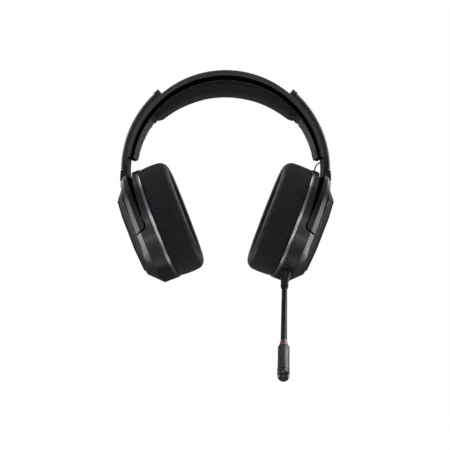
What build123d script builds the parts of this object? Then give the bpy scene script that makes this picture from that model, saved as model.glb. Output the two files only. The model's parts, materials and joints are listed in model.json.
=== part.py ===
"""Over-ear gaming headset with sliding forks, tilting cups and a plug-in flexible microphone.

Millimetres. The origin is where the head cushion rests on the crown of the head:
+X is the wearer's left, -Y is where the wearer looks, +Z is up.
"""
from build123d import *
from math import atan2, cos, degrees, radians, sin
import os

# ---- headband: every arc is about (0, ARC_Z) in the XZ plane ----
ARC_Z = -68.4
BAND_R = 87.8
BAND_HALF_DEPTH = 19.0
BAND_END_Z = -57.7
SHELL_INNER_R = 83.8
SHELL_DROP = 1.9            # the inner arcs' centres are lower, so the band thickens at the crown
LINER_INNER_R = 83.2
LINER_DROP = 3.6
LINER_HALF_DEPTH = 14.6
SPRING_THICKNESS = 0.9
SPRING_HALF_WIDTH = 10.0
BASE_PLATE_THICKNESS = 1.0
CUSHION_HALF_ANGLE = 53.5   # from the crown down to each end of the cushion
CUSHION_HALF_DEPTH = 16.5
CUSHION_RISE = 20.6         # how far the cushion's ends hang below its middle
CUSHION_HALF_SPAN = 59.0
REBATE_R, REBATE_DROP, REBATE_HALF_DEPTH = 85.6, 2.7, 13.9   # step along the shell's front and rear lower edges
END_SCREW_ANGLES = (13.0, 33.5)
SCREW_PROUD = 0.3

# ---- slider: a T-shaped tongue runs in a slot in the outer shell ----
ARM_R = 92.4
GRIP_R = 94.3
ARM_GAP = 0.3
ARM_HALF_WIDTH = 10.0
ARM_START, ARM_END = -4.0, 48.7
GRIP_START, GRIP_END = 0.4, 46.4
RIB_COUNT = 36
RIB_HEIGHT = 0.8
TONGUE_START, TONGUE_END = 10.0, 46.5
SLOT_END = 47.5
NECK_R = 86.6               # underside of the slot's lips
FOOT_R = 85.2               # floor of the slot
SLIP = 0.25
NECK_HALF_WIDTH = 4.0
FOOT_HALF_WIDTH = 8.0
LEAF_ANGLES = (20.0, 28.0)

# ---- ear cup: heights are measured outward from the pad's face, along the tilted cup axis ----
TILT = 21.0
CUP_X, CUP_Z = 35.9, -107.2
CUP_DEPTH, CUP_HEIGHT = 89.0, 104.0
SIDE_R, END_R, CUP_CORNER = 90.0, 75.0, 33.0   # the outline's eight arcs: sides, ends and corners
PAD_BACK = 24.7
RING_FRONT, RING_BACK = 25.2, 28.2
RING_WIDTH = 3.0
BAFFLE_FRONT = 26.2
PART_LINE = 39.4
COVER_BASE = 39.6
BEVEL_START = 39.8
BEVEL_TOP = 53.2
CORE_TOP = 43.6
SLOPE_BASE = 44.0
COVER_TOP = 52.2
PLATE_TOP = 53.5
CORE_INSET = 5.8            # the fork lies in the step between the cup's outline and its core
CAVITY_INSET = 8.0
FLANGE_INSET = 2.2
FLANGE_FLOOR = 30.6
PAD_OPEN_DEPTH, PAD_OPEN_HEIGHT, PAD_OPEN_CORNER = 45.0, 61.0, 21.0
PAD_ROUNDING = 8.0
CASE_SCREW_RADIUS = 23.0    # from a corner arc's centre
CASE_SCREW_TURN = 15.0      # from straight up or down

# ---- fork and its pivots ----
FORK_THICKNESS = 5.0
FORK_TOP = 44.0
PIVOT_V, PIVOT_W = 3.0, 39.3
FORK_END_R = 4.6
FORK_END_GAP = 1.4
PIN_R = 1.6
PIN_SLIP = 0.06

# ---- plate and slope: corners of the raised face, as (towards the rear, up) ----
PLATE_HALF = ((12.0, 32.0), (20.0, 16.0), (20.0, -14.0), (10.0, -35.5))
SLOPE_HALF = ((17.0, 41.5), (39.1, 31.3), (39.1, -27.4), (19.6, -64.0))

# ---- controls in the rear edge of the cups ----
WHEEL_Y, WHEEL_V, WHEEL_R = 37.8, -11.0, 7.2
WHEEL_FRONT, WHEEL_BACK = 32.0, 37.0
WHEEL_SHAFT_R = 1.2
BUTTON_TURN = 24.0          # how far round the corner arc the mute button is
POWER_TURN = 8.0            # how far round the side arc the power button is
BUTTON_R = 3.0
BUTTON_W = 34.2

# ---- microphone ----
MIC_TURN = 43.0             # from straight down towards the front, round the corner arc
MIC_W = 34.2
BOOM_START = (50.2, -39.3, -168.6)
BOOM_TIP = (36.45, -175.5, -215.6)
PLUG_R = 1.75
BOOT_R = 4.5
BOOT_END_R = 3.0
BOOT_STRAIGHT = 4.5
COLLAR_R = 3.3
NECK_TUBE_R = 2.3
CAPSULE_R = 4.0
BEND_1, BEND_2 = 26.0, 66.0  # along the boom from BOOM_START
BEND_GAP = 0.3
CAPSULE_AT = 98.0
CAPSULE_COLLAR, CAPSULE_RING = 8.5, 0.9   # lengths along the boom

os.makedirs("parts", exist_ok=True)

OUT = (cos(radians(TILT)), 0, -sin(radians(TILT)))
cup_plane = Plane(origin=(CUP_X, 0, CUP_Z), x_dir=(0, 1, 0), z_dir=OUT)
side_plane = Plane(origin=(CUP_X, 0, CUP_Z), x_dir=OUT, z_dir=(0, -1, 0))


# ------------------------------------------------------------------ helpers
def save(builder, node):
    """Label one finished piece and write its STEP file."""
    builder.part.label = node
    export_step(builder.part, f"parts/{node}.step")


def save_right(builder, node):
    """Write a piece's mirror image as the wearer's right-hand one."""
    with BuildPart() as other:
        add(mirror(builder.part, about=Plane.YZ))
    save(other, f"{node}_right")


def save_pair(builder, node):
    """Write a piece for the wearer's left, and its mirror image for the right."""
    save(builder, f"{node}_left")
    save_right(builder, node)


def sector(inner_r, outer_r, start, end, inner_z=ARC_Z):
    """Draw an arc-shaped strip about the headband's centre in the open sketch."""
    with BuildLine() as strip:
        inner = CenterArc((0, inner_z), inner_r, start, end - start)
        outer = CenterArc((0, ARC_Z), outer_r, start, end - start)
        Line(inner @ 0, outer @ 0)
        Line(inner @ 1, outer @ 1)
    make_face(strip.edges())


def corner_centre():
    """Where the outline's corner arc has to be centred to run smoothly into the side and end arcs."""
    side_x = CUP_DEPTH / 2 - SIDE_R
    end_y = CUP_HEIGHT / 2 - END_R
    to_side, to_end = SIDE_R - CUP_CORNER, END_R - CUP_CORNER
    gap = (side_x**2 + end_y**2) ** 0.5
    along = (to_side**2 - to_end**2 + gap**2) / (2 * gap)
    across = (to_side**2 - along**2) ** 0.5
    unit = Vector(-side_x, end_y) / gap
    centre = Vector(side_x, 0) + unit * along + Vector(-unit.Y, unit.X) * across
    return centre.X, centre.Y


CORNER_Y, CORNER_V = corner_centre()
SIDE_SPAN = degrees(atan2(CORNER_V, CORNER_Y - CUP_DEPTH / 2 + SIDE_R))
END_SPAN = degrees(atan2(CORNER_Y, CORNER_V - CUP_HEIGHT / 2 + END_R))


def outline(inset):
    """Draw the cup's outline, or one inset from it, in the open sketch: eight arcs that run into each other."""
    with BuildLine() as edge:
        for turn, centre, radius, span in (
            (0, (CUP_DEPTH / 2 - SIDE_R, 0), SIDE_R, SIDE_SPAN),
            (90, (0, CUP_HEIGHT / 2 - END_R), END_R, END_SPAN),
            (180, (SIDE_R - CUP_DEPTH / 2, 0), SIDE_R, SIDE_SPAN),
            (270, (0, END_R - CUP_HEIGHT / 2), END_R, END_SPAN),
        ):
            CenterArc(centre, radius - inset, turn - span, 2 * span)
        for turn, y, v in ((0, 1, 1), (90, -1, 1), (180, -1, -1), (270, 1, -1)):
            first, last = (SIDE_SPAN, END_SPAN) if turn % 180 == 0 else (END_SPAN, SIDE_SPAN)
            CenterArc((y * CORNER_Y, v * CORNER_V), CUP_CORNER - inset, turn + first, 90 - first - last)
    make_face(edge.edges())


def raised_face(scale, half=PLATE_HALF):
    """Draw the polygon of the cover's raised face, or of the foot of its slope, in the open sketch."""
    right = [(y * scale, v * scale) for y, v in half]
    left = [(-y, v) for y, v in reversed(right)]
    Polygon(*right, *left, align=None)


def at_cup(y, v, w):
    """A point given in the cup's own directions: towards the rear, up and outward."""
    return cup_plane.from_local_coords(Vector(y, v, w))


def prism(inset, low, high, mode=Mode.ADD):
    """Extrude the cup's outline between two heights in the open part."""
    with BuildSketch(cup_plane.offset(low)) as section:
        outline(inset)
    extrude(section.sketch, amount=high - low, mode=mode)


# ------------------------------------------------------------------ headband
def cut_slots():
    """Cut the T-shaped slot for each slider out of the open part."""
    for start, end in ((0, SLOT_END), (180 - SLOT_END, 180)):
        with BuildSketch(Plane.XZ) as lips:
            sector(NECK_R, BAND_R + 2, start, end)
        extrude(lips.sketch, amount=NECK_HALF_WIDTH + SLIP, both=True, mode=Mode.SUBTRACT)
        with BuildSketch(Plane.XZ) as foot:
            sector(FOOT_R, NECK_R, start, end)
        extrude(foot.sketch, amount=FOOT_HALF_WIDTH + SLIP, both=True, mode=Mode.SUBTRACT)


with BuildPart() as headband_outer_shell:
    with BuildSketch(Plane.XZ):
        with Locations((0, ARC_Z)):
            Circle(BAND_R)
        with Locations((0, ARC_Z - SHELL_DROP)):
            Circle(SHELL_INNER_R, mode=Mode.SUBTRACT)
        with Locations((0, BAND_END_Z - 100)):
            Rectangle(300, 200, mode=Mode.SUBTRACT)
    extrude(amount=BAND_HALF_DEPTH, both=True)
    rims = headband_outer_shell.edges().filter_by(GeomType.CIRCLE)
    rims = rims.filter_by(lambda edge: abs(edge.radius - BAND_R) < 0.01)
    fillet(rims, 1.0)
    with BuildSketch(Plane.XZ):
        with Locations((0, ARC_Z - SHELL_DROP)):
            Circle(SHELL_INNER_R + SPRING_THICKNESS + 0.1)
            Circle(SHELL_INNER_R - 1, mode=Mode.SUBTRACT)
        with Locations((0, BAND_END_Z - 90)):
            Rectangle(300, 200, mode=Mode.SUBTRACT)
    extrude(amount=SPRING_HALF_WIDTH + 0.2, both=True, mode=Mode.SUBTRACT)
    for front in (-1, 1):
        with BuildSketch(Plane.XZ.offset(front * BAND_HALF_DEPTH)):
            with Locations((0, ARC_Z - REBATE_DROP)):
                Circle(REBATE_R)
        extrude(amount=-front * (BAND_HALF_DEPTH - REBATE_HALF_DEPTH), mode=Mode.SUBTRACT)
    cut_slots()
save(headband_outer_shell, "headband_outer_shell")

with BuildPart() as headband_spring_band:
    with BuildSketch(Plane.XZ):
        with Locations((0, ARC_Z - SHELL_DROP)):
            Circle(SHELL_INNER_R + SPRING_THICKNESS)
            Circle(SHELL_INNER_R, mode=Mode.SUBTRACT)
        with Locations((0, BAND_END_Z - 89)):
            Rectangle(300, 200, mode=Mode.SUBTRACT)
    extrude(amount=SPRING_HALF_WIDTH, both=True)
save(headband_spring_band, "headband_spring_band")

with BuildPart() as headband_inner_shell:
    with BuildSketch(Plane.XZ):
        with Locations((0, ARC_Z - SHELL_DROP)):
            Circle(SHELL_INNER_R)
        with Locations((0, ARC_Z - LINER_DROP)):
            Circle(LINER_INNER_R, mode=Mode.SUBTRACT)
        with Locations((0, BAND_END_Z - 100)):
            Rectangle(300, 200, mode=Mode.SUBTRACT)
    extrude(amount=LINER_HALF_DEPTH, both=True)
save(headband_inner_shell, "headband_inner_shell")

with BuildPart() as cushion_base_plate:
    with BuildSketch(Plane.XZ):
        with BuildLine():
            start = 90 - CUSHION_HALF_ANGLE
            top = CenterArc((0, ARC_Z - LINER_DROP), LINER_INNER_R, start, 2 * CUSHION_HALF_ANGLE)
            under = CenterArc((0, ARC_Z - LINER_DROP), LINER_INNER_R - BASE_PLATE_THICKNESS,
                              start, 2 * CUSHION_HALF_ANGLE)
            Line(top @ 0, under @ 0)
            Line(top @ 1, under @ 1)
        make_face()
    extrude(amount=CUSHION_HALF_DEPTH - 2, both=True)
save(cushion_base_plate, "cushion_base_plate")

with BuildPart() as head_cushion:
    with BuildSketch(Plane.XZ):
        with BuildLine():
            over = CenterArc((0, ARC_Z - LINER_DROP), LINER_INNER_R - BASE_PLATE_THICKNESS - 0.1,
                             90 - CUSHION_HALF_ANGLE, 2 * CUSHION_HALF_ANGLE)
            under = ThreePointArc((CUSHION_HALF_SPAN, -CUSHION_RISE), (0, 0),
                                  (-CUSHION_HALF_SPAN, -CUSHION_RISE))
            Line(over @ 0, under @ 0)
            Line(over @ 1, under @ 1)
        make_face()
    extrude(amount=CUSHION_HALF_DEPTH, both=True)
    lower = head_cushion.edges().filter_by(GeomType.CIRCLE)
    lower = lower.filter_by(lambda edge: edge.center().Z < 0.1 and edge.radius > 84)
    chamfer(lower, 3.0)
save(head_cushion, "head_cushion")

with BuildPart() as headband_end_screws:
    for angle in END_SCREW_ANGLES:
        for turn in (angle, 180 - angle):
            reach = LINER_INNER_R - 0.02
            spot = (reach * cos(radians(turn)), 0, ARC_Z - LINER_DROP + reach * sin(radians(turn)))
            inward = (-cos(radians(turn)), 0, -sin(radians(turn)))
            with BuildSketch(Plane(origin=spot, x_dir=(0, 1, 0), z_dir=inward)):
                with Locations((12.3, 0), (-12.3, 0)):
                    Circle(1.6)
            extrude(amount=SCREW_PROUD)
save(headband_end_screws, "headband_end_screws")

# ------------------------------------------------------------------ shapes shared by cup and fork
with BuildPart() as beveled_body:
    prism(0, 20, BEVEL_START)
    with BuildSketch(cup_plane.offset(BEVEL_START)):
        outline(0)
    with BuildSketch(cup_plane.offset(BEVEL_TOP)):
        outline(BEVEL_TOP - BEVEL_START)
    loft()

# Room for the fork: everything outside the core, above the step and round the fork's ends.
with BuildPart() as fork_room:
    with BuildSketch(side_plane):
        with Locations((PIVOT_W, PIVOT_V)):
            Circle(FORK_END_R + FORK_END_GAP)
        low = PIVOT_V - FORK_END_R - FORK_END_GAP
        Polygon((34.2, PIVOT_V), (31.3, 52), (31.0, 60), (70, 60), (70, low - 8.9), (PIVOT_W, low),
                (PIVOT_W, PIVOT_V), align=None)
    extrude(amount=60, both=True)
    prism(CORE_INSET, 20, 75, mode=Mode.SUBTRACT)

# ------------------------------------------------------------------ slider arm with its fork
with BuildPart() as slider_arm:
    # the ring of the fork, cut to its two arms
    with BuildSketch(side_plane):
        with Locations((PIVOT_W, PIVOT_V)):
            Circle(FORK_END_R)
        low = PIVOT_V - FORK_END_R
        Polygon((PIVOT_W - FORK_END_R, PIVOT_V), (36.7, 52.5), (FORK_TOP, 52.5), (FORK_TOP, low - 1.3),
                (PIVOT_W, low), (PIVOT_W, PIVOT_V), align=None)
    extrude(amount=60, both=True)
    add(beveled_body.part, mode=Mode.INTERSECT)
    prism(FORK_THICKNESS, 20, 60, mode=Mode.SUBTRACT)
    # blind bores for the pivot pins
    pivot = at_cup(0, PIVOT_V, PIVOT_W)
    with BuildSketch(Plane(origin=pivot, x_dir=OUT, z_dir=(0, -1, 0))):
        Circle(PIN_R)
    extrude(amount=CUP_DEPTH / 2 - 1.2, both=True, mode=Mode.SUBTRACT)

with BuildPart() as neck:
    outer_side = [at_cup(0, 47.2, FORK_TOP), at_cup(0, 47.2, 36.9)]
    with BuildSketch(Plane.XZ):
        Polygon((88.1, -62), (88.1, -72), *[(p.X, p.Z) for p in reversed(outer_side)],
                (GRIP_R, ARC_Z - 6), (GRIP_R - 0.2, ARC_Z), (ARM_R - 0.3, ARC_Z), (ARM_R - 0.3, -62),
                align=None)
    extrude(amount=30, both=True)
    with BuildSketch(Plane.YZ):
        Polygon((10, -60), (10, -66), (16, -80), (-16, -80), (-10, -66), (-10, -60), align=None)
    extrude(amount=200, both=True, mode=Mode.INTERSECT)

with BuildPart() as slider_strip:
    with BuildSketch(Plane.XZ):
        sector(BAND_R + ARM_GAP, ARM_R, ARM_START, ARM_END)
    extrude(amount=ARM_HALF_WIDTH, both=True)
    with BuildSketch(Plane.XZ):
        sector(NECK_R - SLIP, BAND_R + ARM_GAP + 0.1, TONGUE_START, TONGUE_END)
    extrude(amount=NECK_HALF_WIDTH, both=True)
    with BuildSketch(Plane.XZ):
        sector(FOOT_R + SLIP, NECK_R - SLIP, TONGUE_START, TONGUE_END)
    extrude(amount=FOOT_HALF_WIDTH, both=True)
    with BuildSketch(Plane.XZ):
        sector(FOOT_R, FOOT_R + SLIP + 0.55, *LEAF_ANGLES)
    extrude(amount=NECK_HALF_WIDTH - 1, both=True, mode=Mode.SUBTRACT)

with BuildPart() as slider_fork:
    add(slider_arm.part)
    add(neck.part)
    add(slider_strip.part)
save_pair(slider_fork, "slider_fork")

with BuildPart() as detent_leaf:
    with BuildSketch(Plane.XZ):
        sector(FOOT_R + SLIP + 0.2, FOOT_R + SLIP + 0.55, LEAF_ANGLES[0] + 0.3, LEAF_ANGLES[1] - 0.3)
    extrude(amount=NECK_HALF_WIDTH - 1.2, both=True)
save_pair(detent_leaf, "detent_leaf")

with BuildPart() as slider_grip:
    with BuildSketch(Plane.XZ):
        sector(ARM_R, GRIP_R - RIB_HEIGHT, GRIP_START, GRIP_END)
        with Locations((0, ARC_Z)):
            with PolarLocations(GRIP_R - RIB_HEIGHT / 2 - 0.1, RIB_COUNT, GRIP_START + 0.6,
                                GRIP_END - GRIP_START - 1.2, endpoint=True):
                Rectangle(RIB_HEIGHT + 0.2, 1.2)
    extrude(amount=ARM_HALF_WIDTH - 0.6, both=True)
save_pair(slider_grip, "slider_grip")

with BuildPart() as slider_end_cap:
    with BuildSketch(Plane.XZ):
        sector(ARM_R, GRIP_R + 0.5, GRIP_END + 0.2, ARM_END)
        sector(BAND_R + ARM_GAP, GRIP_R + 0.5, ARM_END, ARM_END + 1.4)
    extrude(amount=ARM_HALF_WIDTH, both=True)
save_pair(slider_end_cap, "slider_end_cap")

with BuildPart() as pivot_pins:
    for side in (-1, 1):
        with BuildSketch(Plane(origin=at_cup(side * 34.0, PIVOT_V, PIVOT_W), x_dir=OUT, z_dir=(0, side, 0))):
            Circle(PIN_R)
        extrude(amount=CUP_DEPTH / 2 - 1.2 - 34.0)
save_pair(pivot_pins, "pivot_pins")

# ------------------------------------------------------------------ ear cup housing
SCREW_Y = CORNER_Y + CASE_SCREW_RADIUS * sin(radians(CASE_SCREW_TURN))
SCREW_V = CORNER_V + CASE_SCREW_RADIUS * cos(radians(CASE_SCREW_TURN))
SCREW_SPOTS = [(y, v) for y in (-SCREW_Y, SCREW_Y) for v in (-SCREW_V, SCREW_V)]

mic_away = at_cup(-sin(radians(MIC_TURN)), -cos(radians(MIC_TURN)), 0) - at_cup(0, 0, 0)
mic_base = at_cup(-CORNER_Y - CUP_CORNER * sin(radians(MIC_TURN)),
                  -CORNER_V - CUP_CORNER * cos(radians(MIC_TURN)), MIC_W)
mic_plane = Plane(origin=mic_base, x_dir=OUT, z_dir=mic_away)

button_away = at_cup(cos(radians(BUTTON_TURN)), -sin(radians(BUTTON_TURN)), 0) - at_cup(0, 0, 0)
button_spot = at_cup(CORNER_Y + CUP_CORNER * cos(radians(BUTTON_TURN)),
                     -CORNER_V - CUP_CORNER * sin(radians(BUTTON_TURN)), BUTTON_W)
mute_plane = Plane(origin=button_spot, x_dir=OUT, z_dir=button_away)
power_away = at_cup(cos(radians(POWER_TURN)), -sin(radians(POWER_TURN)), 0) - at_cup(0, 0, 0)
power_spot = at_cup(CUP_DEPTH / 2 - SIDE_R + SIDE_R * cos(radians(POWER_TURN)),
                    -SIDE_R * sin(radians(POWER_TURN)), BUTTON_W)
power_plane = Plane(origin=power_spot, x_dir=OUT, z_dir=power_away)
port_away = at_cup(0, -1, 0) - at_cup(0, 0, 0)
port_plane = Plane(origin=at_cup(0, -CUP_HEIGHT / 2, BUTTON_W), x_dir=(0, 1, 0), z_dir=port_away)

with BuildPart() as plain_housing:
    prism(0, RING_BACK, PART_LINE)
    prism(CORE_INSET, PART_LINE, CORE_TOP)
    prism(FLANGE_INSET, RING_BACK, FLANGE_FLOOR, mode=Mode.SUBTRACT)
    prism(CAVITY_INSET, FLANGE_FLOOR, CORE_TOP, mode=Mode.SUBTRACT)
    add(fork_room.part, mode=Mode.SUBTRACT)
    # bosses for the case screws
    with BuildSketch(cup_plane.offset(RING_BACK)):
        with Locations(*SCREW_SPOTS):
            Circle(3.5)
    extrude(amount=CORE_TOP - 1.5 - RING_BACK)
    with BuildSketch(cup_plane.offset(RING_BACK)):
        with Locations(*SCREW_SPOTS):
            Circle(1.0)
    extrude(amount=9.0, mode=Mode.SUBTRACT)
    # bosses for the fork's pivot pins
    for side in (-1, 1):
        with BuildSketch(cup_plane.offset(34.0)):
            with Locations((side * 35.0, PIVOT_V)):
                Rectangle(5.0, 11.0)
        extrude(amount=CORE_TOP - 34.0)
    with BuildSketch(Plane(origin=at_cup(0, PIVOT_V, PIVOT_W), x_dir=OUT, z_dir=(0, -1, 0))):
        Circle(PIN_R + PIN_SLIP)
    extrude(amount=CUP_DEPTH / 2 - 4, both=True, mode=Mode.SUBTRACT)

with BuildPart() as earcup_housing_left:
    add(plain_housing.part)
    # block, slot and bore for the volume wheel
    with BuildSketch(cup_plane.offset(29.2)):
        with Locations((36.0, WHEEL_V)):
            Rectangle(12.0, 18.0)
    extrude(amount=PART_LINE - 29.2)
    with BuildSketch(cup_plane.offset(WHEEL_FRONT - 0.3)):
        with Locations((WHEEL_Y, WHEEL_V)):
            Circle(WHEEL_R + 0.4)
    extrude(amount=WHEEL_BACK - WHEEL_FRONT + 0.6, mode=Mode.SUBTRACT)
    with BuildSketch(cup_plane.offset(29.4)):
        with Locations((WHEEL_Y, WHEEL_V)):
            Circle(WHEEL_SHAFT_R + PIN_SLIP)
    extrude(amount=CORE_TOP - 29.4, mode=Mode.SUBTRACT)
    # mute button, microphone jack and charging port
    with BuildSketch(mute_plane):
        Circle(BUTTON_R + 0.2)
    extrude(amount=10, both=True, mode=Mode.SUBTRACT)
    with BuildSketch(mic_plane.offset(-0.8)):
        Circle(BOOT_R + 0.5)
    extrude(amount=6, mode=Mode.SUBTRACT)
    with BuildSketch(mic_plane):
        Circle(3.7)
    extrude(amount=-14, mode=Mode.SUBTRACT)
    with BuildSketch(port_plane):
        RectangleRounded(9.3, 3.6, 1.7)
    extrude(amount=10, both=True, mode=Mode.SUBTRACT)
save(earcup_housing_left, "earcup_housing_left")

with BuildPart() as housing_for_right:
    add(plain_housing.part)
    with BuildSketch(power_plane):
        SlotOverall(10.4, 4.8, rotation=90)
    extrude(amount=12, both=True, mode=Mode.SUBTRACT)
save_right(housing_for_right, "earcup_housing")

# ------------------------------------------------------------------ ear cup cover and outer plate
with BuildPart() as faceted_slope:
    with BuildSketch(cup_plane.offset(SLOPE_BASE)):
        raised_face(1.0, SLOPE_HALF)
    with BuildSketch(cup_plane.offset(COVER_TOP)):
        raised_face(1.03)
    loft(ruled=True)
    add(beveled_body.part, mode=Mode.INTERSECT)

with BuildPart() as slope_hollow:
    with BuildSketch(cup_plane.offset(CORE_TOP - 0.1)):
        raised_face(1.25)
    with BuildSketch(cup_plane.offset(COVER_TOP - 2.0)):
        raised_face(0.85)
    loft(ruled=True)

with BuildPart() as earcup_cover:
    prism(0, COVER_BASE, SLOPE_BASE)
    add(beveled_body.part, mode=Mode.INTERSECT)
    prism(CORE_INSET, COVER_BASE, CORE_TOP, mode=Mode.SUBTRACT)
    add(faceted_slope.part)
    add(slope_hollow.part, mode=Mode.SUBTRACT)
    add(fork_room.part, mode=Mode.SUBTRACT)
save_pair(earcup_cover, "earcup_cover")

with BuildPart() as cover_plate:
    with BuildSketch(cup_plane.offset(COVER_TOP)):
        raised_face(1.0)
    extrude(amount=PLATE_TOP - COVER_TOP)
    chamfer(cover_plate.faces().sort_by(Axis((CUP_X, 0, CUP_Z), OUT))[-1].edges(), 0.5)
save_pair(cover_plate, "cover_plate")

# ------------------------------------------------------------------ trim, baffle, pad
with BuildPart() as trim_ring:
    prism(0, RING_FRONT, RING_BACK)
    prism(RING_WIDTH, RING_FRONT, RING_BACK, mode=Mode.SUBTRACT)
save_pair(trim_ring, "trim_ring")

with BuildPart() as baffle_plate:
    prism(RING_WIDTH + 0.1, BAFFLE_FRONT, RING_BACK)
    with BuildSketch(cup_plane.offset(BAFFLE_FRONT)):
        with Locations(*SCREW_SPOTS):
            Circle(1.2)
        Circle(3.0)
        with PolarLocations(10.0, 8):
            Circle(2.6)
        with PolarLocations(16.5, 12):
            Circle(2.6)
    extrude(amount=RING_BACK - BAFFLE_FRONT, mode=Mode.SUBTRACT)
save_pair(baffle_plate, "baffle_plate")

with BuildPart() as pad_retaining_ring:
    prism(5.0, PAD_BACK - 1.0, BAFFLE_FRONT)
    with BuildSketch(cup_plane.offset(PAD_BACK - 1.0)):
        RectangleRounded(PAD_OPEN_DEPTH + 3, PAD_OPEN_HEIGHT + 3, PAD_OPEN_CORNER + 1.5)
    extrude(amount=4, mode=Mode.SUBTRACT)
    # clearance for the heads of the case screws
    with BuildSketch(cup_plane.offset(PAD_BACK - 1.0)):
        with Locations(*SCREW_SPOTS):
            Circle(2.5)
    extrude(amount=4, mode=Mode.SUBTRACT)
save_pair(pad_retaining_ring, "pad_retaining_ring")

with BuildPart() as ear_pad:
    prism(0.2, 0, PAD_BACK)
    with BuildSketch(cup_plane):
        RectangleRounded(PAD_OPEN_DEPTH, PAD_OPEN_HEIGHT, PAD_OPEN_CORNER)
    extrude(amount=PAD_BACK, mode=Mode.SUBTRACT)
    face = ear_pad.faces().sort_by(Axis((CUP_X, 0, CUP_Z), OUT))[0]
    fillet(face.outer_wire().edges(), PAD_ROUNDING)
    face = ear_pad.faces().sort_by(Axis((CUP_X, 0, CUP_Z), OUT))[0]
    fillet(face.inner_wires()[0].edges(), 4.0)
    prism(4.7, PAD_BACK - 1.3, PAD_BACK, mode=Mode.SUBTRACT)
save_pair(ear_pad, "ear_pad")

with BuildPart() as scrim_cloth:
    with BuildSketch(cup_plane.offset(BAFFLE_FRONT - 0.7)):
        RectangleRounded(PAD_OPEN_DEPTH + 2.4, PAD_OPEN_HEIGHT + 2.4, PAD_OPEN_CORNER + 1.2)
    extrude(amount=0.6)
save_pair(scrim_cloth, "scrim_cloth")

with BuildPart() as case_screws:
    with BuildSketch(cup_plane.offset(BAFFLE_FRONT - 1.2)):
        with Locations(*SCREW_SPOTS):
            Circle(2.1)
    extrude(amount=1.2)
    with BuildSketch(cup_plane.offset(BAFFLE_FRONT)):
        with Locations(*SCREW_SPOTS):
            Circle(0.95)
    extrude(amount=9.0)
save_pair(case_screws, "case_screws")

# ------------------------------------------------------------------ driver
with BuildPart() as driver_frame:
    with BuildSketch(cup_plane.offset(RING_BACK)):
        Circle(25.5)
        Circle(21.2, mode=Mode.SUBTRACT)
    extrude(amount=2.4)
    with BuildSketch(cup_plane.offset(RING_BACK + 2.4)):
        Circle(25.5)
        with PolarLocations(17.5, 6):
            Circle(3.4, mode=Mode.SUBTRACT)
    extrude(amount=0.8)
save_pair(driver_frame, "driver_frame")

with BuildPart() as driver_diaphragm:
    with BuildSketch(cup_plane.offset(RING_BACK)):
        Circle(21.0)
    extrude(amount=0.3)
    with BuildSketch(cup_plane.offset(RING_BACK + 0.3)):
        Circle(8.0)
    extrude(amount=2.1)
save_pair(driver_diaphragm, "driver_diaphragm")

with BuildPart() as driver_magnet:
    with BuildSketch(cup_plane.offset(RING_BACK + 3.2)):
        Circle(13.0)
    extrude(amount=5.0)
save_pair(driver_magnet, "driver_magnet")

BOARD_W = RING_BACK + 8.2
with BuildPart() as main_board:
    with BuildSketch(cup_plane.offset(BOARD_W)):
        RectangleRounded(44, 42, 2)
        with Locations((-18, 17), (-18, -17), (18, 17), (18, -17)):
            Circle(1.1, mode=Mode.SUBTRACT)
    extrude(amount=1.2)
    with BuildSketch(cup_plane.offset(BOARD_W + 1.2)):
        Rectangle(9, 9)
        with Locations((-13, 6), (12, -9)):
            Rectangle(5, 7)
    extrude(amount=1.2)
save(main_board, "main_board")

with BuildPart() as battery:
    with BuildSketch(cup_plane.offset(BOARD_W)):
        RectangleRounded(36, 42, 2)
    extrude(amount=5.0)
save_right(battery, "battery")

# ------------------------------------------------------------------ controls and sockets
with BuildPart() as volume_wheel:
    with BuildSketch(cup_plane.offset(WHEEL_FRONT)):
        with Locations((WHEEL_Y, WHEEL_V)):
            Circle(WHEEL_R)
            with PolarLocations(WHEEL_R + 0.15, 30):
                Circle(0.4, mode=Mode.SUBTRACT)
    extrude(amount=WHEEL_BACK - WHEEL_FRONT)
    with BuildSketch(cup_plane.offset(29.6)):
        with Locations((WHEEL_Y, WHEEL_V)):
            Circle(WHEEL_SHAFT_R)
    extrude(amount=PART_LINE - 0.2 - 29.6)
save(volume_wheel, "volume_wheel")

with BuildPart() as mute_button:
    with BuildSketch(mute_plane.offset(-5.5)):
        Circle(BUTTON_R)
    extrude(amount=6.3)
    chamfer(mute_button.faces().sort_by(Axis(button_spot, button_away))[-1].edges(), 0.5)
save(mute_button, "mute_button")

with BuildPart() as power_button:
    with BuildSketch(power_plane.offset(-5.5)):
        SlotOverall(10.0, 4.4, rotation=90)
    extrude(amount=6.3)
    chamfer(power_button.faces().sort_by(Axis(power_spot, power_away))[-1].edges(), 0.5)
save_right(power_button, "power_button")

with BuildPart() as charging_socket:
    with BuildSketch(port_plane.offset(-8.0)):
        RectangleRounded(9.1, 3.4, 1.6)
    extrude(amount=7.4)
    with BuildSketch(port_plane.offset(-7.0)):
        RectangleRounded(8.3, 2.6, 1.25)
        Rectangle(6.6, 0.7, mode=Mode.SUBTRACT)
    extrude(amount=8.0, mode=Mode.SUBTRACT)
save(charging_socket, "charging_socket")

with BuildPart() as mic_jack_socket:
    with BuildSketch(mic_plane.offset(-0.8)):
        Circle(3.6)
    extrude(amount=-13.0)
    with BuildSketch(mic_plane.offset(-0.8)):
        Circle(PLUG_R + 0.08)
    extrude(amount=-12.0, mode=Mode.SUBTRACT)
save(mic_jack_socket, "mic_jack_socket")

# ------------------------------------------------------------------ microphone
boom_axis = (Vector(*BOOM_TIP) - Vector(*BOOM_START)).normalized()
BOOM_LENGTH = (Vector(*BOOM_TIP) - Vector(*BOOM_START)).length


def boom_plane(distance):
    """A plane square to the boom, at a distance along it."""
    return Plane(origin=Vector(*BOOM_START) + boom_axis * distance, x_dir=(1, 0, 0.0), z_dir=boom_axis)


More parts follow.
